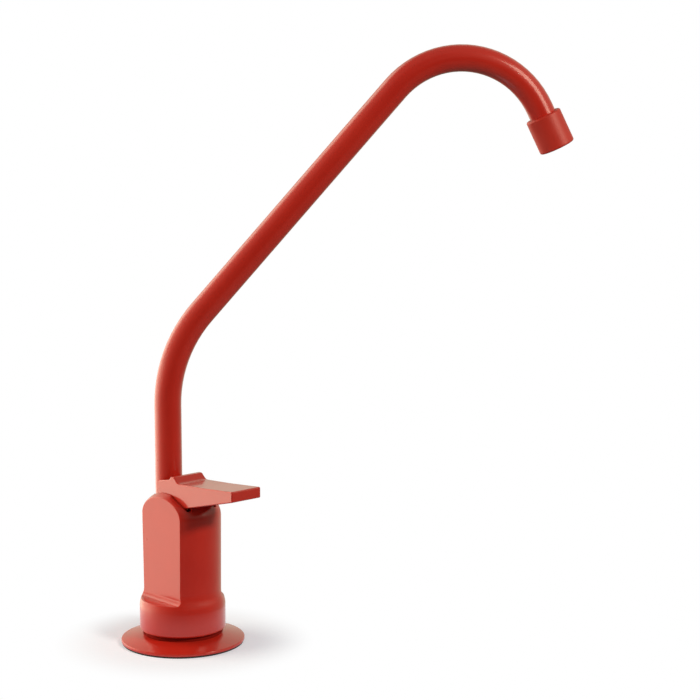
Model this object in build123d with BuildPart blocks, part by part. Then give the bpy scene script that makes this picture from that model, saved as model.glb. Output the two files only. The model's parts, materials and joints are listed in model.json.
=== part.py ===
from build123d import *
from math import cos, radians, sin, sqrt
import os

# A deck faucet for drinking water: a round base plate, a column with two milled flats that end in
# arched ears, a thumb lever between the ears and a tall swivelling spout behind it.
# The deck is the plane Z = 0, +Z is up, the column stands on the Z axis and the lever points to -Y.
# All sizes are millimetres. Names that end in _f are distances forward, towards the lever's tip.

os.makedirs("parts", exist_ok=True)


# Fits
press_gap = 0.01
thread_gap = 0.05
running_gap = 0.05
swivel_gap = 0.10
side_gap = 0.30
seal_gap = 0.03

# Base plate and its gasket
base_radius = 26.5
base_rim_height = 1.0
base_rim_round = 0.5
base_cone_rise = 2.7
base_neck_setback = 2.0
base_collar_height = 1.2
base_collar_fillet = 0.5
base_hub_radius = 11.0
base_recess_depth = 1.3
base_gasket_thickness = 0.8
base_gasket_inset = 0.4
base_gasket_width = 6.1
body_gasket_thickness = 0.5
body_gasket_setback = 0.6

# Column
column_radius = 17.2
column_taper_depth = 0.35
ring_projection = 1.2
ring_height = 9.9
ring_edge_round = 0.8
flare_height = 7.9
shoulder_z = 56.1
crown_rise = 11.05
flat_half_width = 11.1
flat_ledge_z = 19.7
flat_ledge_round = 2.2
flat_edge_round = 0.45
spigot_radius = 8.9
spigot_length = 4.0

# Pocket between the ears
pocket_floor_z = 50.0
pocket_front_f = 13.6
pocket_rear_f = -9.2
pocket_corner_round = 1.0
notch_floor_z = 60.1
ear_slant_rear_f = 2.3
ear_slant_rear_z = 66.0
ear_slant_front_f = 15.0
ear_slant_front_z = 59.85

# Lever
lever_half_width = 7.7
cheek_thickness = 1.65
pivot_f = 0.6
pivot_z = 57.0
pivot_radius = 1.5
pivot_lug_radius = 3.4
pivot_blind_depth = 2.0
pivot_end_recess = 0.3
lever_tip_f = 43.4
lever_tip_top_z = 73.5
lever_tip_height = 4.5
lever_corner_f = 11.8
lever_corner_z = 61.1
lever_rear_f = -6.0
lever_rear_top_z = 70.6
lever_rear_height = 6.0
ridge_rear_f = 1.4
ridge_rear_z = 72.1
ridge_crest_rear_f = 3.0
ridge_crest_front_f = 4.9
ridge_crest_z = 73.6
valley_f = 7.7
valley_z = 71.1
dish_f = 24.0
dish_z = 72.0
plate_rear_f = 0.6
plate_thickness = 1.9
lip_thickness = 2.2
lever_edge_round = 0.5
lever_corner_rounds = [0.6, 1.0, 0.9, 1.1, 3.0, 150.0, 0.6, 0.6, 0.8, 2.6, 3.0, 1.2]

# Valve stem and its cross pin
stem_f = 8.0
stem_radius = 1.75
stem_head_radius = 2.6
stem_head_bottom_z = 54.0
stem_head_top_z = 60.4
stem_pin_radius = 1.0
stem_pin_end_gap = 0.4
stem_lug_radius = 3.0
stem_slot_gap = 0.12
stem_slot_play = 0.3
stem_neck_radius = 1.2
stem_land_radius = 1.9
stem_land_thickness = 0.6
stem_flange_radius = 2.65
stem_flange_thickness = 0.8
stem_pilot_radius = 1.6
stem_pilot_length = 2.6

# Valve chamber, sleeve and gland
chamber_floor_z = 14.5
chamber_radius = 3.4
sleeve_bottom_z = 25.0
sleeve_top_z = 42.0
sleeve_bore_radius = 5.3
sleeve_wall_bottom = 3.0
throat_bottom_z = 27.6
throat_height = 1.0
throat_radius = 2.2
sleeve_inner_radius = 3.2
sleeve_cap_thickness = 4.0
sleeve_seal_radius = 0.5
sleeve_seal_low_z = 26.3
sleeve_seal_high_z = 36.5
gland_radius = 6.0
gland_hex_flats = 10.0
gland_hex_height = 2.4
packing_radius = 3.2
packing_bottom_z = 43.0
packing_height = 2.5
stem_seal_radius = 0.55

# Return spring
spring_coil_radius = 2.35
spring_wire_radius = 0.3
spring_turns = 6

# Water ways
inlet_way_z = 16.0
inlet_way_radius = 1.4
inlet_bore_top_z = 18.0
outlet_way_z = 31.5
outlet_way_radius = 1.8
plug_radius = 2.5
plug_length = 2.9
plug_hex_flats = 2.5
plug_hex_depth = 1.5

# Spout
spout_f = -8.5
spout_yaw = 53.0
tube_radius = 5.75
tube_wall = 1.0
tube_bottom_z = 41.0
low_bend_z = 102.1
low_bend_radius = 60.2
low_bend_angle = 41.3
slant_length = 125.3
hook_radius = 37.5
hook_angle = 112.9
tip_straight = 8.3

# Spout socket and what holds the spout in it
socket_radius = 6.9
socket_step_z = 34.0
well_radius = 5.2
well_floor_z = 27.0
fitting_top_z = 47.0
fitting_bore_radius = 4.0
fitting_seal_radius = 0.8
fitting_seal_low_z = 36.0
fitting_seal_high_z = 39.2
bushing_height = 1.5
clip_thickness = 0.9
clip_inner_radius = 6.4
clip_outer_radius = 7.4
clip_opening = 40.0

# Outlet end of the spout
collar_radius = 7.8
collar_length = 15.1
collar_overlap = 5.0
collar_round = 0.8
collar_top_lip = 0.9
collar_bore_radius = 6.95
collar_outlet_radius = 5.0
collar_bottom_lip = 1.5
adapter_lip_radius = 4.75
adapter_lip_thickness = 1.5
aerator_washer_thickness = 1.5
aerator_washer_bore = 3.6
aerator_wall = 1.2
screen_thickness = 0.4
screen_hole_radius = 0.38
screen_hole_pitch = 1.15

# Threaded shank under the base
shank_radius = 5.56
shank_root_depth = 0.35
shank_pitch = 1.06
shank_plain_end_z = -15.0
shank_end_z = -57.0
shank_bore_radius = 2.6
shank_socket_depth = 15.0
shank_top_radius = 5.0
shank_top_length = 10.8
shank_seal_radius = 0.6
shank_seal_z = 4.2

# Hardware under the deck
deck_thickness = 20.0
washer_bore_gap = 0.45
deck_washer_radius = 17.0
deck_washer_thickness = 2.5
plate_washer_radius = 15.0
plate_washer_thickness = 1.2
lock_washer_radius = 9.0
lock_washer_thickness = 0.9
lock_tooth_count = 12
lock_tooth_length = 1.6
lock_tooth_width = 1.7
mounting_nut_flats = 17.5
mounting_nut_height = 6.4
inlet_nut_flats = 14.3
inlet_nut_height = 10.0
inlet_nut_overlap = 4.0
inlet_nut_lip = 2.0
nut_edge_chamfer = 0.8
tube_hole_radius = 3.25
ferrule_nose_radius = 3.9
ferrule_cylinder = 1.6


# Radii and heights that follow from the sizes above
column_foot_radius = column_radius - column_taper_depth
ring_radius = column_radius + ring_projection
base_collar_radius = ring_radius - base_neck_setback
body_gasket_radius = base_collar_radius - body_gasket_setback
base_bottom_z = base_gasket_thickness
base_rim_z = base_bottom_z + base_rim_height
base_cone_z = base_rim_z + base_cone_rise
base_collar_z = base_cone_z + base_collar_height
body_bottom_z = base_collar_z + body_gasket_thickness
spigot_bottom_z = body_bottom_z - spigot_length
ring_top_z = body_bottom_z + ring_height
flare_top_z = ring_top_z + flare_height
crown_top_z = shoulder_z + crown_rise
ear_inner_x = lever_half_width + side_gap
cheek_inner_x = lever_half_width - cheek_thickness
tongue_half_width = cheek_inner_x - side_gap
stem_pin_z = pivot_z
throat_top_z = throat_bottom_z + throat_height
stem_seal_z = throat_bottom_z + throat_height / 2
shank_bore_top_z = spigot_bottom_z + shank_top_length
base_bore_radius = spigot_radius + swivel_gap
pivot_hole_radius = pivot_radius + press_gap
sleeve_radius = sleeve_bore_radius - thread_gap
spring_bottom_z = chamber_floor_z + spring_wire_radius
stem_flange_z = sleeve_bottom_z - 2 * stem_flange_thickness
spring_top_z = stem_flange_z - spring_wire_radius


def forward(f, z):
    """A point of the side view: f millimetres forward of the Z axis, at height z."""
    return (-f, z)


def ring(outer, inner, bottom, top, center=(0, 0)):
    """Add a round ring about a vertical axis to the part being built, or a disc if inner is 0."""
    with BuildSketch(Plane.XY.offset(bottom)) as outline:
        with Locations(center):
            Circle(outer)
            if inner > 0:
                Circle(inner, mode=Mode.SUBTRACT)
    extrude(outline.sketch, amount=top - bottom)


def nut_blank(flats, bottom, top, center=(0, 0)):
    """A hexagonal blank about a vertical axis, with its corners turned off at both ends."""
    corner_radius = flats / sqrt(3)
    with BuildPart() as blank:
        with BuildSketch(Plane.XY.offset(bottom)):
            RegularPolygon(radius=flats / 2, side_count=6, major_radius=False)
        extrude(amount=top - bottom)
        with BuildSketch(Plane.XZ):
            with BuildLine():
                Polyline(
                    (0, bottom),
                    (corner_radius - nut_edge_chamfer, bottom),
                    (corner_radius, bottom + nut_edge_chamfer / 2),
                    (corner_radius, top - nut_edge_chamfer / 2),
                    (corner_radius - nut_edge_chamfer, top),
                    (0, top),
                    close=True,
                )
            make_face()
        revolve(axis=Axis.Z, mode=Mode.INTERSECT)
    return Pos(*center) * blank.part


def round_bore(radius, bottom, top, center=(0, 0)):
    """Cut a round vertical hole in the part being built."""
    with BuildSketch(Plane.XY.offset(bottom)) as outline:
        with Locations(center):
            Circle(radius)
    extrude(outline.sketch, amount=top - bottom, mode=Mode.SUBTRACT)


stem_center = (0, -stem_f)
spout_center = (0, -spout_f)


# Base plate gasket
base_gasket_radius = base_radius - base_gasket_inset
with BuildPart() as base_gasket:
    ring(base_gasket_radius, base_gasket_radius - base_gasket_width, 0, base_bottom_z)
base_gasket.part.label = "base_gasket"
export_step(base_gasket.part, "parts/base_gasket.step")


# Base plate: a low cone with a rounded rim and an upright collar, set back under the column
with BuildPart() as base_plate:
    with BuildSketch(Plane.XZ):
        with BuildLine():
            Polyline(
                (base_bore_radius, base_bottom_z),
                (base_radius, base_bottom_z),
                (base_radius, base_rim_z),
                (base_collar_radius, base_cone_z),
                (base_collar_radius, base_collar_z),
                (base_bore_radius, base_collar_z),
                close=True,
            )
        make_face()
    revolve(axis=Axis.Z)
    rim_edges = base_plate.edges().filter_by(GeomType.CIRCLE).group_by(SortBy.RADIUS)[-1]
    fillet(rim_edges.sort_by(Axis.Z)[-1], base_rim_round)
    plate_circles = base_plate.edges().filter_by(GeomType.CIRCLE)
    fillet(plate_circles.filter_by_position(Axis.Z, base_cone_z, base_cone_z), base_collar_fillet)
    recess_outer = base_gasket_radius - base_gasket_width
    with BuildSketch(Plane.XY.offset(base_bottom_z)):
        Circle(recess_outer)
        Circle(base_hub_radius, mode=Mode.SUBTRACT)
    extrude(amount=base_recess_depth, mode=Mode.SUBTRACT)
base_plate.part.label = "base_plate"
export_step(base_plate.part, "parts/base_plate.step")


# Thin gasket between the base plate's collar and the column
with BuildPart() as body_gasket:
    ring(body_gasket_radius, base_bore_radius, base_collar_z, body_bottom_z)
body_gasket.part.label = "body_gasket"
export_step(body_gasket.part, "parts/body_gasket.step")


# Column: turned body with a flared foot, a slight taper and an elliptical crown
with BuildPart() as faucet_body:
    with BuildSketch(Plane.XZ):
        with BuildLine():
            flare_middle = ((ring_radius + column_foot_radius) / 2, (ring_top_z + flare_top_z) / 2)
            foot = Polyline(
                (0, spigot_bottom_z),
                (spigot_radius, spigot_bottom_z),
                (spigot_radius, body_bottom_z),
                (ring_radius, body_bottom_z),
                (ring_radius, ring_top_z),
            )
            flare_low = TangentArc(foot @ 1, flare_middle, tangent=(0, 1))
            flare_high = TangentArc(flare_low @ 1, (column_foot_radius, flare_top_z), tangent=flare_low % 1)
            Line(flare_high @ 1, (column_radius, shoulder_z))
            crown = EllipticalCenterArc((0, shoulder_z), column_radius, crown_rise, arc_size=90)
            Line(crown @ 1, (0, spigot_bottom_z))
        make_face()
    revolve(axis=Axis.Z)
    foot_edges = faucet_body.edges().filter_by_position(Axis.Z, body_bottom_z, body_bottom_z)
    fillet(foot_edges.sort_by(SortBy.RADIUS)[-1], ring_edge_round)

    # Two flats, milled down to a ledge with a round inner corner
    for side_sign in (1, -1):
        with BuildSketch(Plane.XZ) as flat_cut:
            with BuildLine():
                wall_end = (flat_half_width, flat_ledge_z + flat_ledge_round)
                wall = Line((flat_half_width, crown_top_z), wall_end)
                corner = JernArc(wall_end, (0, -1), flat_ledge_round, 90)
                Polyline(
                    corner @ 1,
                    (base_radius, flat_ledge_z),
                    (base_radius, crown_top_z),
                    wall @ 0,
                )
            make_face()
            if side_sign < 0:
                mirror(about=Plane.YZ, mode=Mode.REPLACE)
        extrude(flat_cut.sketch, amount=base_radius, both=True, mode=Mode.SUBTRACT)
    flat_faces = faucet_body.faces().filter_by(Axis.X).filter_by(
        lambda face: abs(face.center().X) > flat_half_width - press_gap
    )
    arch_edges = [
        edge
        for face in flat_faces
        for edge in face.edges()
        if edge.center().Z > flat_ledge_z + 2 * flat_ledge_round
    ]
    fillet(arch_edges, flat_edge_round)

    # Pocket between the ears, with a notch for each cheek of the lever beside a tongue in its front wall
    with BuildSketch(Plane.XY.offset(pocket_floor_z)) as pocket:
        pocket_middle = (pocket_front_f + pocket_rear_f) / 2
        with Locations((0, -pocket_middle)):
            Rectangle(2 * ear_inner_x, pocket_front_f - pocket_rear_f)
        fillet(pocket.vertices(), pocket_corner_round)
        with Locations(spout_center):
            Circle(socket_radius)
    extrude(pocket.sketch, amount=crown_top_z - pocket_floor_z, mode=Mode.SUBTRACT)
    notch_x = (ear_inner_x + tongue_half_width) / 2
    notch_length = 2 * (column_radius - pocket_front_f + pocket_corner_round)
    with BuildSketch(Plane.XY.offset(notch_floor_z)) as cheek_notches:
        with Locations((notch_x, -column_radius), (-notch_x, -column_radius)):
            Rectangle(ear_inner_x - tongue_half_width, notch_length)
    extrude(cheek_notches.sketch, amount=crown_top_z - notch_floor_z, mode=Mode.SUBTRACT)

    # Slant across the front of both ears, along the lever's lower edge
    for side_sign in (1, -1):
        with BuildSketch(Plane.YZ.offset(side_sign * ear_inner_x)) as ear_slant:
            with BuildLine():
                Polyline(
                    forward(ear_slant_rear_f, ear_slant_rear_z),
                    forward(ear_slant_front_f, ear_slant_front_z),
                    forward(ear_slant_front_f, crown_top_z),
                    forward(ear_slant_rear_f, crown_top_z),
                    close=True,
                )
            make_face()
        extrude(ear_slant.sketch, amount=side_sign * flat_half_width, mode=Mode.SUBTRACT)

    # Shank bore and the way from it to the valve chamber
    round_bore(shank_top_radius + thread_gap, spigot_bottom_z, shank_bore_top_z)
    round_bore(shank_bore_radius, shank_bore_top_z, inlet_bore_top_z)
    with BuildSketch(Plane.XZ) as inlet_way:
        with Locations((0, inlet_way_z)):
            Circle(inlet_way_radius)
    extrude(inlet_way.sketch, amount=stem_f, mode=Mode.SUBTRACT)

    # Valve bores, from the chamber up to the gland's thread
    round_bore(chamber_radius, chamber_floor_z, sleeve_bottom_z, stem_center)
    round_bore(sleeve_bore_radius, sleeve_bottom_z, sleeve_top_z, stem_center)
    round_bore(gland_radius, sleeve_top_z, pocket_floor_z, stem_center)

    # Spout socket, the water well under it and the clip's groove
    round_bore(well_radius, well_floor_z, socket_step_z, spout_center)
    round_bore(socket_radius, socket_step_z, pocket_floor_z, spout_center)
    clip_bottom_z = fitting_top_z + 2 * running_gap + bushing_height
    clip_top_z = clip_bottom_z + clip_thickness
    clip_groove_radius = clip_outer_radius + thread_gap
    round_bore(clip_groove_radius, clip_bottom_z - press_gap, clip_top_z + press_gap, spout_center)

    # Way from the valve to the spout's well, drilled from the rear and plugged there
    with BuildSketch(Plane.XZ.offset(stem_f)) as outlet_way:
        with Locations((0, outlet_way_z)):
            Circle(outlet_way_radius)
    extrude(outlet_way.sketch, amount=-(stem_f - spout_f), mode=Mode.SUBTRACT)
    with BuildSketch(Plane.XZ.offset(spout_f)) as plug_hole:
        with Locations((0, outlet_way_z)):
            Circle(plug_radius + press_gap)
    extrude(plug_hole.sketch, amount=-column_radius, mode=Mode.SUBTRACT)

    # Pivot pin's hole: blind in the near ear, open in the far one
    pivot_near_x = -(ear_inner_x + pivot_blind_depth)
    with BuildSketch(Plane.YZ.offset(pivot_near_x - press_gap)) as pivot_hole:
        with Locations(forward(pivot_f, pivot_z)):
            Circle(pivot_hole_radius)
    extrude(pivot_hole.sketch, amount=flat_half_width - pivot_near_x + 1, mode=Mode.SUBTRACT)
faucet_body.part.label = "faucet_body"
export_step(faucet_body.part, "parts/faucet_body.step")


# Set screw that closes the drilled water way at the rear
column_taper = column_taper_depth / (shoulder_z - flare_top_z)
plug_column_radius = column_foot_radius + column_taper * (outlet_way_z - flare_top_z)
plug_rear_y = sqrt(plug_column_radius**2 - plug_radius**2)
with BuildPart() as gallery_plug:
    with BuildSketch(Plane.XZ.offset(-plug_rear_y)) as plug_outline:
        with Locations((0, outlet_way_z)):
            Circle(plug_radius)
    extrude(plug_outline.sketch, amount=plug_length)
    with BuildSketch(Plane.XZ.offset(-plug_rear_y)) as plug_hex:
        with Locations((0, outlet_way_z)):
            RegularPolygon(radius=plug_hex_flats / 2, side_count=6, major_radius=False)
    extrude(plug_hex.sketch, amount=plug_hex_depth, mode=Mode.SUBTRACT)
gallery_plug.part.label = "gallery_plug"
export_step(gallery_plug.part, "parts/gallery_plug.step")


# Pivot pin through the ears and the lever's cheeks
pivot_far_x = flat_half_width - pivot_end_recess
with BuildPart() as pivot_pin:
    with BuildSketch(Plane.YZ.offset(pivot_near_x)) as pin_outline:
        with Locations(forward(pivot_f, pivot_z)):
            Circle(pivot_radius)
    extrude(pin_outline.sketch, amount=pivot_far_x - pivot_near_x)
    chamfer(pivot_pin.edges().filter_by(GeomType.CIRCLE), pivot_radius / 6)
pivot_pin.part.label = "pivot_pin"
export_step(pivot_pin.part, "parts/pivot_pin.step")


# Lever: an inverted tray with a cross ridge, whose cheeks reach down to the pivot between the ears
with BuildPart() as lever:
    with BuildSketch(Plane.YZ) as side_view:
        with BuildLine():
            FilletPolyline(
                forward(lever_rear_f, lever_rear_top_z),
                forward(ridge_rear_f, ridge_rear_z),
                forward(ridge_crest_rear_f, ridge_crest_z),
                forward(ridge_crest_front_f, ridge_crest_z),
                forward(valley_f, valley_z),
                forward(dish_f, dish_z),
                forward(lever_tip_f, lever_tip_top_z),
                forward(lever_tip_f, lever_tip_top_z - lever_tip_height),
                forward(lever_corner_f, lever_corner_z),
                forward(stem_f + stem_lug_radius, stem_pin_z - stem_lug_radius),
                forward(pivot_f - pivot_lug_radius, pivot_z - pivot_lug_radius),
                forward(lever_rear_f, lever_rear_top_z - lever_rear_height),
                radius=lever_corner_rounds,
                close=True,
            )
        make_face()
    extrude(side_view.sketch, amount=lever_half_width, both=True)
    cheek_faces = lever.faces().filter_by(Axis.X).group_by(Axis.X)
    fillet(cheek_faces[0].edges() + cheek_faces[-1].edges(), lever_edge_round)

    # Hollow under the plate, open at the rear for the spout
    with BuildSketch(Plane.YZ) as tray:
        with BuildLine():
            Polyline(
                forward(lever_rear_f - 1, pocket_floor_z),
                forward(lever_rear_f - 1, ridge_crest_z + 1),
                forward(plate_rear_f, ridge_crest_z + 1),
                forward(plate_rear_f, ridge_rear_z - plate_thickness),
                forward(valley_f, valley_z - plate_thickness),
                forward(dish_f, dish_z - plate_thickness),
                forward(lever_tip_f - lip_thickness, lever_tip_top_z - plate_thickness),
                forward(lever_tip_f - lip_thickness, pocket_floor_z),
                close=True,
            )
        make_face()
    extrude(tray.sketch, amount=cheek_inner_x, both=True, mode=Mode.SUBTRACT)

    # Pivot holes and the slots for the stem's cross pin
    with BuildSketch(Plane.YZ.offset(-lever_half_width)) as lever_holes:
        with Locations(forward(pivot_f, pivot_z)):
            Circle(pivot_radius + running_gap)
        with Locations(forward(stem_f, stem_pin_z)):
            slot_radius = stem_pin_radius + stem_slot_gap
            SlotCenterToCenter(2 * stem_slot_play, 2 * slot_radius)
    extrude(lever_holes.sketch, amount=2 * lever_half_width, mode=Mode.SUBTRACT)
lever.part.label = "lever"
export_step(lever.part, "parts/lever.step")


# Valve sleeve: a brass insert with the throat that the stem's seal closes
with BuildPart() as valve_sleeve:
    ring(sleeve_radius, sleeve_wall_bottom, sleeve_bottom_z, throat_bottom_z, stem_center)
    ring(sleeve_radius, throat_radius, throat_bottom_z, throat_top_z, stem_center)
    sleeve_cap_z = sleeve_top_z - sleeve_cap_thickness
    ring(sleeve_radius, sleeve_inner_radius, throat_top_z, sleeve_cap_z, stem_center)
    ring(sleeve_radius, stem_radius + running_gap, sleeve_cap_z, sleeve_top_z, stem_center)
    for seal_z in (sleeve_seal_low_z, sleeve_seal_high_z):
        with BuildSketch(Plane.XY.offset(seal_z - sleeve_seal_radius)) as seal_groove:
            with Locations(stem_center):
                Circle(sleeve_radius + 1)
                Circle(sleeve_bore_radius - 2 * sleeve_seal_radius, mode=Mode.SUBTRACT)
        extrude(seal_groove.sketch, amount=2 * sleeve_seal_radius, mode=Mode.SUBTRACT)
    with BuildSketch(Plane.XZ.offset(stem_f)) as sleeve_port:
        with Locations((0, outlet_way_z)):
            Circle(outlet_way_radius)
    extrude(sleeve_port.sketch, amount=-(sleeve_radius + 1), mode=Mode.SUBTRACT)
valve_sleeve.part.label = "valve_sleeve"
export_step(valve_sleeve.part, "parts/valve_sleeve.step")


# The sleeve's two seal rings
sleeve_seal_center = sleeve_bore_radius - sleeve_seal_radius - press_gap
with BuildPart() as sleeve_seals:
    for seal_z in (sleeve_seal_low_z, sleeve_seal_high_z):
        with Locations((0, -stem_f, seal_z)):
            Torus(sleeve_seal_center, sleeve_seal_radius - press_gap)
sleeve_seals.part.label = "sleeve_seals"
export_step(sleeve_seals.part, "parts/sleeve_seals.step")


# Gland nut over the sleeve
gland_top_z = pocket_floor_z + gland_hex_height
gland_blank = nut_blank(gland_hex_flats, pocket_floor_z, gland_top_z, stem_center)
with BuildPart() as valve_gland:
    add(gland_blank)
    ring(gland_radius - thread_gap, stem_radius + running_gap, sleeve_top_z, pocket_floor_z, stem_center)
    round_bore(stem_radius + running_gap, pocket_floor_z, gland_top_z, stem_center)
    round_bore(packing_radius, sleeve_top_z, packing_bottom_z + packing_height, stem_center)
valve_gland.part.label = "valve_gland"
export_step(valve_gland.part, "parts/valve_gland.step")


# Thrust ring and packing inside the gland
with BuildPart() as packing_washer:
    ring(packing_radius - press_gap, stem_radius + running_gap, sleeve_top_z, packing_bottom_z, stem_center)
packing_washer.part.label = "packing_washer"
export_step(packing_washer.part, "parts/packing_washer.step")

with BuildPart() as gland_packing:
    packing_top_z = packing_bottom_z + packing_height
    ring(packing_radius - press_gap, stem_radius + seal_gap, packing_bottom_z, packing_top_z, stem_center)
gland_packing.part.label = "gland_packing"
export_step(gland_packing.part, "parts/gland_packing.step")


# Valve stem: head with a cross hole, shaft, two lands beside the seal, neck, spring flange and pilot
stem_seal_center = throat_radius - seal_gap - stem_seal_radius
stem_seat_radius = stem_seal_center - stem_seal_radius
seal_seat_low_z = stem_seal_z - stem_seal_radius
seal_seat_high_z = stem_seal_z + stem_seal_radius
land_low_z = seal_seat_low_z - stem_land_thickness
land_high_z = seal_seat_high_z + stem_land_thickness
stem_flange_top_z = stem_flange_z + stem_flange_thickness
with BuildPart() as valve_stem:
    ring(stem_head_radius, 0, stem_head_bottom_z, stem_head_top_z, stem_center)
    ring(stem_radius, 0, land_high_z, stem_head_bottom_z, stem_center)
    ring(stem_land_radius, 0, seal_seat_high_z, land_high_z, stem_center)
    ring(stem_seat_radius, 0, seal_seat_low_z, seal_seat_high_z, stem_center)
    ring(stem_land_radius, 0, land_low_z, seal_seat_low_z, stem_center)
    ring(stem_neck_radius, 0, stem_flange_top_z, land_low_z, stem_center)
    ring(stem_flange_radius, 0, stem_flange_z, stem_flange_top_z, stem_center)
    ring(stem_pilot_radius, 0, stem_flange_z - stem_pilot_length, stem_flange_z, stem_center)
    with BuildSketch(Plane.YZ.offset(-stem_head_radius)) as cross_hole:
        with Locations(forward(stem_f, stem_pin_z)):
            Circle(stem_pin_radius + press_gap)
    extrude(cross_hole.sketch, amount=2 * stem_head_radius, mode=Mode.SUBTRACT)
valve_stem.part.label = "valve_stem"
export_step(valve_stem.part, "parts/valve_stem.step")


# Seal ring on the stem, in the throat when the lever is at rest
with BuildPart() as stem_seal:
    with Locations((0, -stem_f, stem_seal_z)):
        Torus(stem_seal_center, stem_seal_radius - press_gap)
stem_seal.part.label = "stem_seal"
export_step(stem_seal.part, "parts/stem_seal.step")


# Cross pin that links the stem's head to the lever's cheeks
stem_pin_half = ear_inner_x - stem_pin_end_gap
with BuildPart() as stem_pin:
    with BuildSketch(Plane.YZ.offset(-stem_pin_half)) as pin_outline:
        with Locations(forward(stem_f, stem_pin_z)):
            Circle(stem_pin_radius)
    extrude(pin_outline.sketch, amount=2 * stem_pin_half)
stem_pin.part.label = "stem_pin"
export_step(stem_pin.part, "parts/stem_pin.step")


# Return spring between the chamber's floor and the stem's flange
with BuildPart() as return_spring:
    spring_height = spring_top_z - spring_bottom_z
    with BuildLine() as spring_line:
        Helix(
            pitch=spring_height / spring_turns,
            height=spring_height,
            radius=spring_coil_radius,
            center=(0, -stem_f, spring_bottom_z),
        )
    with BuildSketch(Plane(origin=spring_line.line @ 0, z_dir=spring_line.line % 0)) as spring_wire:
        Circle(spring_wire_radius)
    sweep(spring_wire.sketch, path=spring_line.line, is_frenet=True)
return_spring.part.label = "return_spring"
export_step(return_spring.part, "parts/return_spring.step")


# Spout tube: upright, a wide bend, a long slant and a hook, all in one upright plane
spout_toward = (sin(radians(spout_yaw)), -cos(radians(spout_yaw)), 0)
spout_normal = (-cos(radians(spout_yaw)), -sin(radians(spout_yaw)), 0)
spout_plane = Plane(origin=(0, -spout_f, 0), x_dir=spout_toward, z_dir=spout_normal)
with BuildPart() as spout_tube:
    with BuildLine(spout_plane) as spout_path:
        upright = Line((0, tube_bottom_z), (0, low_bend_z))
        low_bend = JernArc(upright @ 1, upright % 1, low_bend_radius, -low_bend_angle)
        slant_end = low_bend @ 1 + (low_bend % 1) * slant_length
        slant = Line(low_bend @ 1, slant_end)
        hook = JernArc(slant @ 1, slant % 1, hook_radius, -hook_angle)
        Line(hook @ 1, hook @ 1 + (hook % 1) * tip_straight)
    with BuildSketch(Plane(origin=spout_path.line @ 0, z_dir=spout_path.line % 0)) as tube_section:
        Circle(tube_radius)
        Circle(tube_radius - tube_wall, mode=Mode.SUBTRACT)
    sweep(tube_section.sketch, path=spout_path.line)
spout_tube.part.label = "spout_tube"
export_step(spout_tube.part, "parts/spout_tube.step")


# Brass foot of the spout, which turns in the socket
with BuildPart() as spout_fitting:
    fitting_radius = socket_radius - running_gap
    fitting_bottom_z = socket_step_z + running_gap
    ring(fitting_radius, fitting_bore_radius, fitting_bottom_z, tube_bottom_z, spout_center)
    ring(fitting_radius, tube_radius + press_gap, tube_bottom_z, fitting_top_z, spout_center)
    groove_floor_radius = socket_radius - seal_gap - 2 * fitting_seal_radius
    for seal_z in (fitting_seal_low_z, fitting_seal_high_z):
        with BuildSketch(Plane.XY.offset(seal_z - fitting_seal_radius)) as seal_groove:
            with Locations(spout_center):
                Circle(socket_radius + 1)
                Circle(groove_floor_radius, mode=Mode.SUBTRACT)
        extrude(seal_groove.sketch, amount=2 * fitting_seal_radius, mode=Mode.SUBTRACT)
spout_fitting.part.label = "spout_fitting"
export_step(spout_fitting.part, "parts/spout_fitting.step")


# The spout's two seal rings
with BuildPart() as spout_seals:
    for seal_z in (fitting_seal_low_z, fitting_seal_high_z):
        with Locations((0, -spout_f, seal_z)):
            Torus(socket_radius - seal_gap - fitting_seal_radius, fitting_seal_radius - press_gap)
spout_seals.part.label = "spout_seals"
export_step(spout_seals.part, "parts/spout_seals.step")


# Bearing ring over the fitting, and the spring clip that keeps both down
bushing_bottom_z = fitting_top_z + running_gap
with BuildPart() as spout_bushing:
    bushing_top_z = bushing_bottom_z + bushing_height
    ring(socket_radius - press_gap, tube_radius + swivel_gap, bushing_bottom_z, bushing_top_z, spout_center)
spout_bushing.part.label = "spout_bushing"
export_step(spout_bushing.part, "parts/spout_bushing.step")

with BuildPart() as spout_clip:
    ring(clip_outer_radius, clip_inner_radius, clip_bottom_z, clip_top_z, spout_center)
    clip_gap = 2 * clip_outer_radius * sin(radians(clip_opening / 2))
    with BuildSketch(Plane.XY.offset(clip_bottom_z)) as clip_cut:
        with Locations((0, -spout_f + clip_outer_radius)):
            Rectangle(clip_gap, clip_outer_radius)
    extrude(clip_cut.sketch, amount=clip_thickness, mode=Mode.SUBTRACT)
spout_clip.part.label = "spout_clip"
export_step(spout_clip.part, "parts/spout_clip.step")


# Outlet end: every piece is a ring about the tube's last straight, t millimetres past the tube's end
tip_plane = Plane(origin=spout_path.line @ 1, z_dir=spout_path.line % 1)
collar_start_t = -collar_overlap
collar_end_t = collar_start_t + collar_length
collar_floor_t = collar_end_t - collar_bottom_lip
collar_bore_t = collar_start_t + collar_top_lip
washer_top_t = adapter_lip_thickness
washer_end_t = washer_top_t + aerator_washer_thickness


def tip_ring(outer, inner, start, end, mode=Mode.ADD):
    """Add or cut a ring about the outlet's axis, or a disc if inner is 0."""
    with BuildSketch(tip_plane.offset(start)) as outline:
        Circle(outer)
        if inner > 0:
            Circle(inner, mode=Mode.SUBTRACT)
    extrude(outline.sketch, amount=end - start, mode=mode)


# Threaded adapter on the tube's end
adapter_radius = collar_bore_radius - thread_gap
with BuildPart() as outlet_adapter:
    tip_ring(adapter_radius, tube_radius + press_gap, collar_bore_t + running_gap, 0)
    tip_ring(adapter_radius, adapter_lip_radius, 0, washer_top_t)
outlet_adapter.part.label = "outlet_adapter"
export_step(outlet_adapter.part, "parts/outlet_adapter.step")

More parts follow.
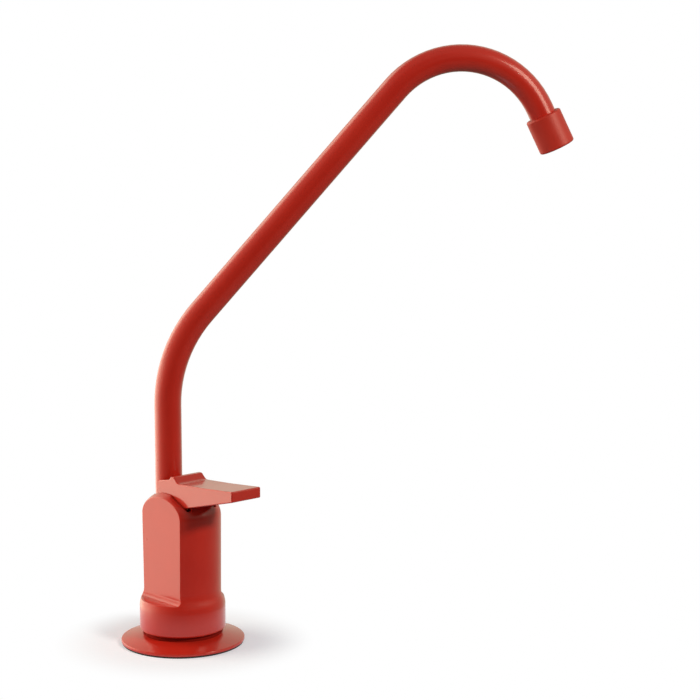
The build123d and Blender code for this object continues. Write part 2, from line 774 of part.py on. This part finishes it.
# Outlet collar: the screwed sleeve with rounded ends
with BuildPart() as outlet_collar:
    tip_ring(collar_radius, 0, collar_start_t, collar_end_t)
    fillet(outlet_collar.edges().filter_by(GeomType.CIRCLE), collar_round)
    tip_ring(tube_radius + swivel_gap, 0, collar_start_t, collar_bore_t, mode=Mode.SUBTRACT)
    tip_ring(collar_bore_radius, 0, collar_bore_t, collar_floor_t, mode=Mode.SUBTRACT)
    tip_ring(collar_outlet_radius, 0, collar_floor_t, collar_end_t, mode=Mode.SUBTRACT)
outlet_collar.part.label = "outlet_collar"
export_step(outlet_collar.part, "parts/outlet_collar.step")

# Rubber washer between the adapter and the aerator
with BuildPart() as aerator_washer:
    tip_ring(adapter_radius, aerator_washer_bore, washer_top_t, washer_end_t)
aerator_washer.part.label = "aerator_washer"
export_step(aerator_washer.part, "parts/aerator_washer.step")

# Aerator cage with a seat for a screen at each end
screen_radius = adapter_radius - aerator_wall
screen_seat = screen_thickness + running_gap
with BuildPart() as aerator_cage:
    tip_ring(adapter_radius, screen_radius + running_gap, washer_end_t, washer_end_t + screen_seat)
    cage_waist_radius = screen_radius - aerator_wall
    tip_ring(adapter_radius, cage_waist_radius, washer_end_t + screen_seat, collar_floor_t - screen_seat)
    tip_ring(adapter_radius, screen_radius + running_gap, collar_floor_t - screen_seat, collar_floor_t)
aerator_cage.part.label = "aerator_cage"
export_step(aerator_cage.part, "parts/aerator_cage.step")

# The two punched screens
screen_count = int(2 * screen_radius / screen_hole_pitch)
screen_holes = [
    place
    for place in GridLocations(screen_hole_pitch, screen_hole_pitch, screen_count, screen_count).locations
    if place.position.length < collar_outlet_radius - screen_hole_radius / 2
]
with BuildPart() as aerator_screens:
    for screen_start_t in (washer_end_t, collar_floor_t - screen_thickness):
        with BuildSketch(tip_plane.offset(screen_start_t)) as screen_outline:
            Circle(screen_radius)
            with Locations(screen_holes):
                Circle(screen_hole_radius, mode=Mode.SUBTRACT)
        extrude(screen_outline.sketch, amount=screen_thickness)
aerator_screens.part.label = "aerator_screens"
export_step(aerator_screens.part, "parts/aerator_screens.step")


# Shank: screwed into the column, plain through the deck and threaded below it
shank_root_radius = shank_radius - shank_root_depth
shank_top_z = shank_bore_top_z - press_gap
thread_count = int((shank_plain_end_z - shank_end_z) / shank_pitch)
thread_points = []
for turn in range(thread_count):
    crest_z = shank_plain_end_z - turn * shank_pitch
    thread_points.append((shank_radius, crest_z))
    thread_points.append((shank_radius, crest_z - shank_pitch / 4))
    thread_points.append((shank_root_radius, crest_z - shank_pitch * 5 / 8))
with BuildPart() as threaded_shank:
    with BuildSketch(Plane.XZ) as shank_outline:
        with BuildLine():
            Polyline(
                (shank_bore_radius, shank_top_z),
                (shank_top_radius, shank_top_z),
                (shank_top_radius, spigot_bottom_z),
                (shank_radius, spigot_bottom_z),
                *thread_points,
                (shank_root_radius, shank_end_z),
                (shank_bore_radius, shank_end_z),
                close=True,
            )
        make_face()
    revolve(shank_outline.sketch, axis=Axis.Z)
    shank_seal_floor = shank_top_radius + thread_gap - 2 * shank_seal_radius
    with BuildSketch(Plane.XY.offset(shank_seal_z - shank_seal_radius)) as seal_groove:
        Circle(shank_top_radius + 1)
        Circle(shank_seal_floor, mode=Mode.SUBTRACT)
    extrude(seal_groove.sketch, amount=2 * shank_seal_radius, mode=Mode.SUBTRACT)
    round_bore(tube_hole_radius, shank_end_z, shank_end_z + shank_socket_depth)
threaded_shank.part.label = "threaded_shank"
export_step(threaded_shank.part, "parts/threaded_shank.step")

with BuildPart() as shank_seal:
    with Locations((0, 0, shank_seal_z)):
        Torus(shank_top_radius + thread_gap - shank_seal_radius, shank_seal_radius - press_gap)
shank_seal.part.label = "shank_seal"
export_step(shank_seal.part, "parts/shank_seal.step")


# Hardware under the deck, stacked down the shank
washer_bore = shank_radius + washer_bore_gap
deck_washer_top_z = -deck_thickness
plate_washer_top_z = deck_washer_top_z - deck_washer_thickness
lock_washer_top_z = plate_washer_top_z - plate_washer_thickness
mounting_nut_top_z = lock_washer_top_z - lock_washer_thickness
mounting_nut_bottom_z = mounting_nut_top_z - mounting_nut_height

with BuildPart() as deck_washer:
    ring(deck_washer_radius, washer_bore, plate_washer_top_z, deck_washer_top_z)
    washer_edges = deck_washer.edges().filter_by(GeomType.CIRCLE).sort_by(SortBy.RADIUS)
    fillet(washer_edges[-2:], deck_washer_thickness / 5)
deck_washer.part.label = "deck_washer"
export_step(deck_washer.part, "parts/deck_washer.step")

with BuildPart() as plate_washer:
    ring(plate_washer_radius, washer_bore, lock_washer_top_z, plate_washer_top_z)
plate_washer.part.label = "plate_washer"
export_step(plate_washer.part, "parts/plate_washer.step")

with BuildPart() as lock_washer:
    ring(lock_washer_radius, washer_bore, mounting_nut_top_z, lock_washer_top_z)
    with BuildSketch(Plane.XY.offset(mounting_nut_top_z)) as lock_teeth:
        with PolarLocations(lock_washer_radius, lock_tooth_count):
            Rectangle(2 * lock_tooth_length, lock_tooth_width)
    extrude(lock_teeth.sketch, amount=lock_washer_thickness)
lock_washer.part.label = "lock_washer"
export_step(lock_washer.part, "parts/lock_washer.step")

mounting_blank = nut_blank(mounting_nut_flats, mounting_nut_bottom_z, mounting_nut_top_z)
with BuildPart() as mounting_nut:
    add(mounting_blank)
    round_bore(shank_radius + thread_gap, mounting_nut_bottom_z, mounting_nut_top_z)
mounting_nut.part.label = "mounting_nut"
export_step(mounting_nut.part, "parts/mounting_nut.step")


# Inlet: compression nut on the shank's end, with the ferrule that grips the supply tube
inlet_nut_top_z = shank_end_z + inlet_nut_overlap
inlet_nut_bottom_z = inlet_nut_top_z - inlet_nut_height
inlet_seat_z = inlet_nut_bottom_z + inlet_nut_lip
inlet_blank = nut_blank(inlet_nut_flats, inlet_nut_bottom_z, inlet_nut_top_z)
cone_top_z = shank_end_z - ferrule_cylinder
nut_bore_radius = shank_radius + thread_gap
with BuildPart() as inlet_nut:
    add(inlet_blank)
    with BuildSketch(Plane.XZ) as inlet_hollow:
        with BuildLine():
            Polyline(
                (0, inlet_nut_top_z),
                (nut_bore_radius, inlet_nut_top_z),
                (nut_bore_radius, cone_top_z),
                (ferrule_nose_radius + running_gap, inlet_seat_z),
                (tube_hole_radius, inlet_seat_z),
                (tube_hole_radius, inlet_nut_bottom_z),
                (0, inlet_nut_bottom_z),
                close=True,
            )
        make_face()
    revolve(inlet_hollow.sketch, axis=Axis.Z, mode=Mode.SUBTRACT)
inlet_nut.part.label = "inlet_nut"
export_step(inlet_nut.part, "parts/inlet_nut.step")

with BuildPart() as inlet_ferrule:
    ferrule_radius = nut_bore_radius - running_gap
    ferrule_bottom_z = inlet_seat_z + running_gap
    with BuildSketch(Plane.XZ) as ferrule_outline:
        with BuildLine():
            Polyline(
                (tube_hole_radius, shank_end_z - running_gap),
                (ferrule_radius, shank_end_z - running_gap),
                (ferrule_radius, cone_top_z),
                (ferrule_nose_radius, ferrule_bottom_z),
                (tube_hole_radius, ferrule_bottom_z),
                close=True,
            )
        make_face()
    revolve(ferrule_outline.sketch, axis=Axis.Z)
inlet_ferrule.part.label = "inlet_ferrule"
export_step(inlet_ferrule.part, "parts/inlet_ferrule.step")
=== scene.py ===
"""Looks for the drinking water faucet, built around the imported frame. Lengths are in metres."""

import json
import math
from typing import NamedTuple

import bpy
from mathutils import Matrix, Vector

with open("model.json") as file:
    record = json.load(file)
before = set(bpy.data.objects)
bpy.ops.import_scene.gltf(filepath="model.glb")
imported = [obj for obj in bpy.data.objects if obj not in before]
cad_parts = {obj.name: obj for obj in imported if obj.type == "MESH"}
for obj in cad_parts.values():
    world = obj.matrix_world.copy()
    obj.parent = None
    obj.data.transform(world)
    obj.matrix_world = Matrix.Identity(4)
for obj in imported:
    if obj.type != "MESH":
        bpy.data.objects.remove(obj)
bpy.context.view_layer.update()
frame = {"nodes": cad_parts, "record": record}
nodes = frame["nodes"]


def direction(azimuth, elevation):
    """The unit vector that turns from -Y to +X by the azimuth and up by the elevation, in degrees."""
    side = math.radians(azimuth)
    height = math.radians(elevation)
    level = math.cos(height)
    return Vector((math.sin(side) * level, -math.cos(side) * level, math.sin(height)))


# Camera: fitted to the outlines in the photograph
CAMERA_AZIMUTH = -43.0
CAMERA_ELEVATION = 8.19
CAMERA_DISTANCE = 0.8
CAMERA_RIGHT = 0.07205
CAMERA_UP = 0.12533
FOCAL_PIXELS = 1852.0
IMAGE_PIXELS = 700.0
SENSOR_MM = 36.0
CLIP_START = 0.02
CLIP_END = 50.0
TOWARDS_CAMERA = direction(CAMERA_AZIMUTH, 0.0)
TO_THE_RIGHT = Vector((-TOWARDS_CAMERA.y, TOWARDS_CAMERA.x, 0.0))


def place_camera():
    """Puts the camera at the photograph's viewing angle."""
    back = direction(CAMERA_AZIMUTH, CAMERA_ELEVATION)
    up = back.cross(TO_THE_RIGHT)
    data = bpy.data.cameras.new("camera")
    data.sensor_width = SENSOR_MM
    data.lens = SENSOR_MM * FOCAL_PIXELS / IMAGE_PIXELS
    data.clip_start = CLIP_START
    data.clip_end = CLIP_END
    camera = bpy.data.objects.new("camera", data)
    turn = Matrix((TO_THE_RIGHT, up, back)).transposed().to_4x4()
    place = TO_THE_RIGHT * CAMERA_RIGHT + up * CAMERA_UP + back * CAMERA_DISTANCE
    camera.matrix_world = Matrix.Translation(place) @ turn
    bpy.context.collection.objects.link(camera)
    bpy.context.scene.camera = camera


WHITE = (1.0, 1.0, 1.0)
RAMP_MIDDLE = 0.5


def opaque(colour):
    """The colour with full alpha, as shader sockets take it."""
    return (*colour, 1.0)


class Graph:
    """Adds and links shader nodes in one node tree."""

    def __init__(self, tree):
        tree.nodes.clear()
        self.tree = tree

    def add(self, kind, values=None, **settings):
        """A new node. Its values are constants or the outputs of other nodes."""
        node = self.tree.nodes.new(kind)
        for key, value in settings.items():
            setattr(node, key, value)
        for key, value in (values or {}).items():
            if isinstance(value, bpy.types.NodeSocket):
                self.link(value, node.inputs[key])
            else:
                node.inputs[key].default_value = value
        return node

    def link(self, source, target):
        """Links an output to an input."""
        self.tree.links.new(source, target)

    def calculate(self, operation, first, second):
        """The result of one sum on two numbers."""
        return self.add("ShaderNodeMath", {0: first, 1: second}, operation=operation).outputs["Value"]

    def object_place(self):
        """Where a point of the surface lies in its object's own metres."""
        return self.add("ShaderNodeTexCoord").outputs["Object"]

    def length(self, vector):
        """How long a vector is."""
        return self.add("ShaderNodeVectorMath", {0: vector}, operation="LENGTH").outputs["Value"]

    def along(self, vector, axis):
        """How far a vector reaches along a fixed axis."""
        node = self.add("ShaderNodeVectorMath", {0: vector, 1: axis}, operation="DOT_PRODUCT")
        return node.outputs["Value"]

    def remap(self, value, source, target=(0.0, 1.0), **settings):
        """A value brought from the source limits to the target limits."""
        values = {
            "Value": value,
            "From Min": source[0],
            "From Max": source[1],
            "To Min": target[0],
            "To Max": target[1],
        }
        return self.add("ShaderNodeMapRange", values, **settings).outputs["Result"]

    def smooth(self, value, limits):
        """Goes smoothly from 0 to 1 while the value goes through the limits."""
        return self.remap(value, limits, interpolation_type="SMOOTHSTEP")

    def ramp(self, source, stops):
        """A colour ramp with the given (position, colour) stops."""
        node = self.add("ShaderNodeValToRGB", {"Fac": source})
        elements = node.color_ramp.elements
        while len(elements) < len(stops):
            elements.new(RAMP_MIDDLE)
        for element, (position, colour) in zip(elements, stops):
            element.position = position
            element.color = opaque(colour)
        return node.outputs["Color"]

    def mix(self, amount, first, second):
        """The first shader where the amount is 0, and the second where it is 1."""
        node = self.add("ShaderNodeMixShader", {"Fac": amount})
        self.link(first, node.inputs[1])
        self.link(second, node.inputs[2])
        return node.outputs["Shader"]

    def ray(self, kind):
        """1 for rays of one kind, and 0 for the others."""
        return self.add("ShaderNodeLightPath").outputs[kind]

    def seen(self):
        """1 for rays from the camera and rays through glass, and 0 for the others."""
        return self.calculate("MAXIMUM", self.ray("Is Camera Ray"), self.ray("Is Transmission Ray"))

    def seen_or_mirrored(self):
        """1 for rays from the camera, rays through glass and mirror rays, and 0 for soft light."""
        return self.calculate("MAXIMUM", self.seen(), self.ray("Is Glossy Ray"))


def new_material(name, build):
    """A node material with the shader that build(graph) makes."""
    material = bpy.data.materials.new(name)
    material.use_nodes = True
    graph = Graph(material.node_tree)
    output = graph.add("ShaderNodeOutputMaterial")
    graph.link(build(graph), output.inputs["Surface"])
    return material


class Finish(NamedTuple):
    """Two colours that drift into each other, the limits of roughness and a fine bump, the peel."""

    dark: tuple
    light: tuple
    blotches_per_metre: float
    rough: tuple
    peel_per_metre: float
    peel_height: float
    sockets: dict


# Noise of all finishes: the drift goes from dark to light between these values of the noise
COLOUR_DRIFT = (0.3, 0.7)
COLOUR_DETAIL = 3.0
ROUGH_PER_BLOTCH = 4
ROUGH_DETAIL = 4.0
PEEL_DETAIL = 2.0
PEEL_STRENGTH = 0.5
NOISE_ROUGHNESS = 0.55


def grain(graph, per_metre, detail):
    """Noise in the object's own metres."""
    values = {
        "Vector": graph.object_place(),
        "Scale": per_metre,
        "Detail": detail,
        "Roughness": NOISE_ROUGHNESS,
    }
    return graph.add("ShaderNodeTexNoise", values).outputs["Fac"]


def finish_shader(graph, finish):
    """A finish: slow colour drift, roughness drift and a fine surface bump."""
    drift = grain(graph, finish.blotches_per_metre, COLOUR_DETAIL)
    wear = grain(graph, finish.blotches_per_metre * ROUGH_PER_BLOTCH, ROUGH_DETAIL)
    bump = {
        "Height": grain(graph, finish.peel_per_metre, PEEL_DETAIL),
        "Strength": PEEL_STRENGTH,
        "Distance": finish.peel_height,
    }
    values = {
        "Base Color": graph.ramp(drift, list(zip(COLOUR_DRIFT, (finish.dark, finish.light)))),
        "Roughness": graph.remap(wear, (0.0, 1.0), finish.rough),
        "Normal": graph.add("ShaderNodeBump", bump).outputs["Normal"],
        **finish.sockets,
    }
    return graph.add("ShaderNodeBsdfPrincipled", values).outputs["BSDF"]


def finish_material(name, finish):
    """A material with one finish all over."""
    return new_material(name, lambda graph: finish_shader(graph, finish))


# Glossy paint on the column, the spout tube and the base plate
RED_GLOSS = Finish(
    dark=(0.52, 0.018, 0.009),
    light=(0.57, 0.024, 0.012),
    blotches_per_metre=40.0,
    rough=(0.26, 0.32),
    peel_per_metre=900.0,
    peel_height=0.000004,
    sockets={"Coat Weight": 0.5, "Coat Roughness": 0.1, "Specular IOR Level": 0.35},
)
# The same paint with a deeper coat on the lever
RED_LEVER = RED_GLOSS._replace(
    sockets={"Coat Weight": 0.75, "Coat Roughness": 0.1, "Specular IOR Level": 0.45},
)
# Painted shade: darker, duller red in the recess where the base plate meets the column foot, standing in
# for the shade under the foot's overhang
RED_JOINT_SHADE = Finish(
    dark=(0.20, 0.006, 0.003),
    light=(0.24, 0.008, 0.004),
    blotches_per_metre=40.0,
    rough=(0.7, 0.8),
    peel_per_metre=900.0,
    peel_height=0.00002,
    sockets={"Specular IOR Level": 0.1},
)
# Satin paint on the outlet collar
RED_SATIN = Finish(
    dark=(0.50, 0.024, 0.012),
    light=(0.55, 0.030, 0.016),
    blotches_per_metre=60.0,
    rough=(0.42, 0.5),
    peel_per_metre=1500.0,
    peel_height=0.00003,
    sockets={"Specular IOR Level": 0.5},
)
# Brass of the valve, the fittings, the plug, and the shank with its nuts
BRASS = Finish(
    dark=(0.60, 0.42, 0.16),
    light=(0.72, 0.52, 0.22),
    blotches_per_metre=120.0,
    rough=(0.25, 0.4),
    peel_per_metre=2500.0,
    peel_height=0.00001,
    sockets={"Metallic": 1.0},
)
# Steel of the pins, the spring, the clip, the plate and lock washers and the aerator's screens
STEEL = Finish(
    dark=(0.42, 0.42, 0.43),
    light=(0.56, 0.56, 0.57),
    blotches_per_metre=150.0,
    rough=(0.25, 0.4),
    peel_per_metre=3000.0,
    peel_height=0.00001,
    sockets={"Metallic": 1.0},
)
# Rubber of the gaskets, the seal rings and the aerator's washer
RUBBER = Finish(
    dark=(0.012, 0.012, 0.012),
    light=(0.028, 0.027, 0.026),
    blotches_per_metre=300.0,
    rough=(0.6, 0.8),
    peel_per_metre=4000.0,
    peel_height=0.00002,
    sockets={},
)
# Plastic of the packing, the bearing ring, the aerator's cage and the deck washer
PLASTIC = Finish(
    dark=(0.60, 0.60, 0.56),
    light=(0.70, 0.70, 0.66),
    blotches_per_metre=100.0,
    rough=(0.4, 0.5),
    peel_per_metre=2000.0,
    peel_height=0.00001,
    sockets={},
)

# The painted shade of the recess goes over into the gloss between these distances from the column's axis
JOINT_SHADE_EDGE = (0.0168, 0.0174)
LEVEL_PLANE = (1, 1, 0)


def plate_shader(graph):
    """The red gloss, with painted shade (a darker, duller red) in the recess where the plate meets the
    column.
    """
    flattened = {0: graph.object_place(), 1: LEVEL_PLANE}
    across = graph.add("ShaderNodeVectorMath", flattened, operation="MULTIPLY").outputs["Vector"]
    outside = graph.remap(graph.length(across), JOINT_SHADE_EDGE)
    return graph.mix(outside, finish_shader(graph, RED_JOINT_SHADE), finish_shader(graph, RED_GLOSS))


def dress_nodes():
    """Gives each piece its own finish, or the finish of its material slot."""
    slots = {
        "red_metal": finish_material("red_gloss", RED_GLOSS),
        "brass": finish_material("brass", BRASS),
        "steel": finish_material("steel", STEEL),
        "rubber": finish_material("rubber", RUBBER),
        "plastic": finish_material("plastic", PLASTIC),
    }
    own = {
        "base_plate": new_material("red_plate", plate_shader),
        "lever": finish_material("red_lever", RED_LEVER),
        "outlet_collar": finish_material("red_satin", RED_SATIN),
    }
    for entry in frame["record"]["subparts"]:
        mesh = nodes[entry["node"]].data
        mesh.materials.clear()
        mesh.materials.append(own.get(entry["node"], slots[entry["material_slot"]]))


# Floor: pale around the foot, and white past FLOOR_CLEAR. Mirror rays go through it past FLOOR_MIRRORED,
# and soft light past FLOOR_LIT, so that farther out it is there for the eye alone.
FLOOR_RADIUS = 0.45
FLOOR_SIDES = 96
FLOOR_COLOUR = (0.70, 0.72, 0.80)
FLOOR_LIFT = 0.3
FLOOR_CLEAR = (0.030, 0.058)
FLOOR_MIRRORED = (0.050, 0.078)
FLOOR_LIT = (0.20, 0.21)


def floor_shader(graph):
    """A pale floor that fades into the white background away from the foot."""
    reach = graph.length(graph.object_place())
    matt = graph.add("ShaderNodeBsdfDiffuse", {"Color": opaque(FLOOR_COLOUR)}).outputs["BSDF"]
    lift = graph.add("ShaderNodeEmission", {"Color": opaque(WHITE), "Strength": FLOOR_LIFT})
    white = graph.add("ShaderNodeEmission", {"Color": opaque(WHITE)}).outputs["Emission"]
    near = graph.add("ShaderNodeAddShader")
    graph.link(matt, near.inputs[0])
    graph.link(lift.outputs["Emission"], near.inputs[1])
    shown = graph.mix(graph.smooth(reach, FLOOR_CLEAR), near.outputs["Shader"], white)
    floor = graph.mix(graph.seen_or_mirrored(), matt, shown)
    mirror_ray = graph.ray("Is Glossy Ray")
    no_mirror = graph.calculate("MULTIPLY", mirror_ray, graph.smooth(reach, FLOOR_MIRRORED))
    unseen = graph.calculate("SUBTRACT", 1.0, graph.seen())
    no_light = graph.calculate("MULTIPLY", unseen, graph.smooth(reach, FLOOR_LIT))
    clear = graph.add("ShaderNodeBsdfTransparent").outputs["BSDF"]
    return graph.mix(graph.calculate("MAXIMUM", no_mirror, no_light), floor, clear)


def build_floor():
    """A plain pale disc in the plane of the deck."""
    mesh = bpy.data.meshes.new("floor")
    turns = [2 * math.pi * side / FLOOR_SIDES for side in range(FLOOR_SIDES)]
    corners = [(FLOOR_RADIUS * math.cos(turn), FLOOR_RADIUS * math.sin(turn), 0.0) for turn in turns]
    mesh.from_pydata(corners, [], [tuple(range(FLOOR_SIDES))])
    mesh.materials.append(new_material("floor_white", floor_shader))
    floor = bpy.data.objects.new("floor", mesh)
    bpy.context.collection.objects.link(floor)


# What shiny paint mirrors, as (angle, level): the angle in degrees from the camera's side, to its right
# positive, and a level where 1 is white. The backdrop is pale, the brightest softboxes stand at the left,
# a fainter one at the right, and the room in front is dark.
MIRRORED_LOW = [
    (-180, 0.7), (-168, 0.7), (-152, 1.6), (-138, 2.5),
    (-94, 2.7), (-80, 1.6), (-57, 0.7), (-33, 0.25),
    (0, 0.06), (30, 0.05), (73, 0.15), (97, 0.3),
    (116, 0.45), (135, 0.6), (155, 0.8), (180, 0.8),
]
MIRRORED_HIGH = [
    (-180, 0.7), (-160, 0.8), (-148, 1.2), (-136, 3.0),
    (-116, 3.0), (-98, 1.0), (-70, 0.7), (-45, 0.4),
    (-20, 0.1), (5, 0.1), (25, 0.3), (60, 0.4),
    (85, 0.8), (110, 0.6), (150, 0.7), (180, 0.8),
]
MIRRORED_TOP = 0.3
MIRRORED_BELOW = 0.2
# One band goes over into the next between these heights of the ray's direction
BELOW_TO_LOW = (-0.50, -0.22)
LOW_TO_HIGH = (0.05, 0.25)
HIGH_TO_TOP = (0.62, 0.85)
MIRROR_TINT = (1.0, 0.95, 0.75)
# How much soft light comes from below, from the horizon and from above
DOME = [(0.0, 0.04), (0.5, 0.04), (1.0, 0.34)]
UPWARD = (0, 0, 1)
HALF_TURN = 180
FULL_TURN = 360


def tinted(level):
    """The slightly warm colour of the studio at a level."""
    return [level * tint for tint in MIRROR_TINT]


def ring(graph, place, stops):
    """The studio's colour at a place around the object, where 0 to 1 is the full turn."""
    return graph.ramp(place, [((angle + HALF_TURN) / FULL_TURN, tinted(level)) for angle, level in stops])


def blend(graph, value, limits, first, second):
    """Goes smoothly from the first colour to the second while the value goes through the limits."""
    values = {"Fac": graph.smooth(value, limits), "Color1": first, "Color2": second}
    return graph.add("ShaderNodeMixRGB", values).outputs["Color"]


def mirrored_studio(graph, ray, height):
    """The colour that a mirror ray meets: the ground, two rings of softboxes and the ceiling."""
    ahead = graph.along(ray, TOWARDS_CAMERA)
    beside = graph.along(ray, TO_THE_RIGHT)
    place = graph.remap(graph.calculate("ARCTAN2", beside, ahead), (-math.pi, math.pi))
    below = opaque(tinted(MIRRORED_BELOW))
    top = opaque(tinted(MIRRORED_TOP))
    lower = blend(graph, height, BELOW_TO_LOW, below, ring(graph, place, MIRRORED_LOW))
    middle = blend(graph, height, LOW_TO_HIGH, lower, ring(graph, place, MIRRORED_HIGH))
    return blend(graph, height, HIGH_TO_TOP, middle, top)


def build_world():
    """White for the camera, and a soft studio for the light and the reflections."""
    world = bpy.data.worlds.new("studio")
    bpy.context.scene.world = world
    world.use_nodes = True
    graph = Graph(world.node_tree)
    output = graph.add("ShaderNodeOutputWorld")
    ray = graph.add("ShaderNodeTexCoord").outputs["Generated"]
    height = graph.along(ray, UPWARD)
    dome = graph.ramp(graph.remap(height, (-1.0, 1.0)), [(place, [level] * 3) for place, level in DOME])
    room = graph.add("ShaderNodeBackground", {"Color": dome}).outputs["Background"]
    studio = mirrored_studio(graph, ray, height)
    mirror = graph.add("ShaderNodeBackground", {"Color": studio}).outputs["Background"]
    white = graph.add("ShaderNodeBackground", {"Color": opaque(WHITE)}).outputs["Background"]
    around = graph.mix(graph.ray("Is Glossy Ray"), room, mirror)
    graph.link(graph.mix(graph.seen(), around, white), output.inputs["Surface"])


class Softbox(NamedTuple):
    """A lamp that looks at a target from an angle in degrees. A level of 1 is as bright as white."""

    target: Vector
    azimuth: float
    elevation: float
    distance: float
    size: tuple
    level: float
    colour: tuple
    mirrored: bool = False


# The places that the lamps look at, and their colours
FOOT = Vector((0.0, 0.0, 0.05))
HOOK = Vector((0.12, -0.085, 0.235))
WARM = (1.0, 0.95, 0.76)
WARM_WHITE = (1.0, 0.96, 0.85)
# Two broad lamps light the part from the left, and the small one gives the lever's shadow on the column.
# The last one is there for mirror rays alone and gives the streak on the hook and the collar.
SOFTBOXES = {
    "side": Softbox(
        FOOT, azimuth=-135.0, elevation=4.0, distance=0.9, size=(0.8, 0.36), level=3.6, colour=WARM
    ),
    "key": Softbox(
        FOOT, azimuth=-138.0, elevation=24.0, distance=0.9, size=(0.7, 0.45), level=6.0, colour=WARM
    ),
    "right": Softbox(
        FOOT, azimuth=6.0, elevation=31.0, distance=0.9, size=(0.2, 0.08), level=80.0, colour=WARM_WHITE
    ),
    "streak": Softbox(
        HOOK, azimuth=12.0, elevation=22.0, distance=0.35, size=(0.16, 0.26), level=6.0, colour=WARM,
        mirrored=True,
    ),
}


def add_softbox(name, box):
    """Adds one softbox, which gives soft light or shows in mirror rays alone."""
    width, height = box.size
    data = bpy.data.lights.new(name, "AREA")
    data.shape = "RECTANGLE"
    data.size = width
    data.size_y = height
    data.energy = box.level * math.pi * width * height
    data.color = box.colour
    lamp = bpy.data.objects.new(name, data)
    away = direction(box.azimuth, box.elevation)
    lamp.location = box.target + away * box.distance
    lamp.rotation_mode = "QUATERNION"
    lamp.rotation_quaternion = away.to_track_quat("Z", "Y")
    lamp.visible_glossy = box.mirrored
    lamp.visible_diffuse = not box.mirrored
    bpy.context.collection.objects.link(lamp)


dress_nodes()
place_camera()
build_floor()
build_world()
for lamp_name, softbox in SOFTBOXES.items():
    add_softbox(lamp_name, softbox)

bpy.context.scene.view_settings.view_transform = "Standard"
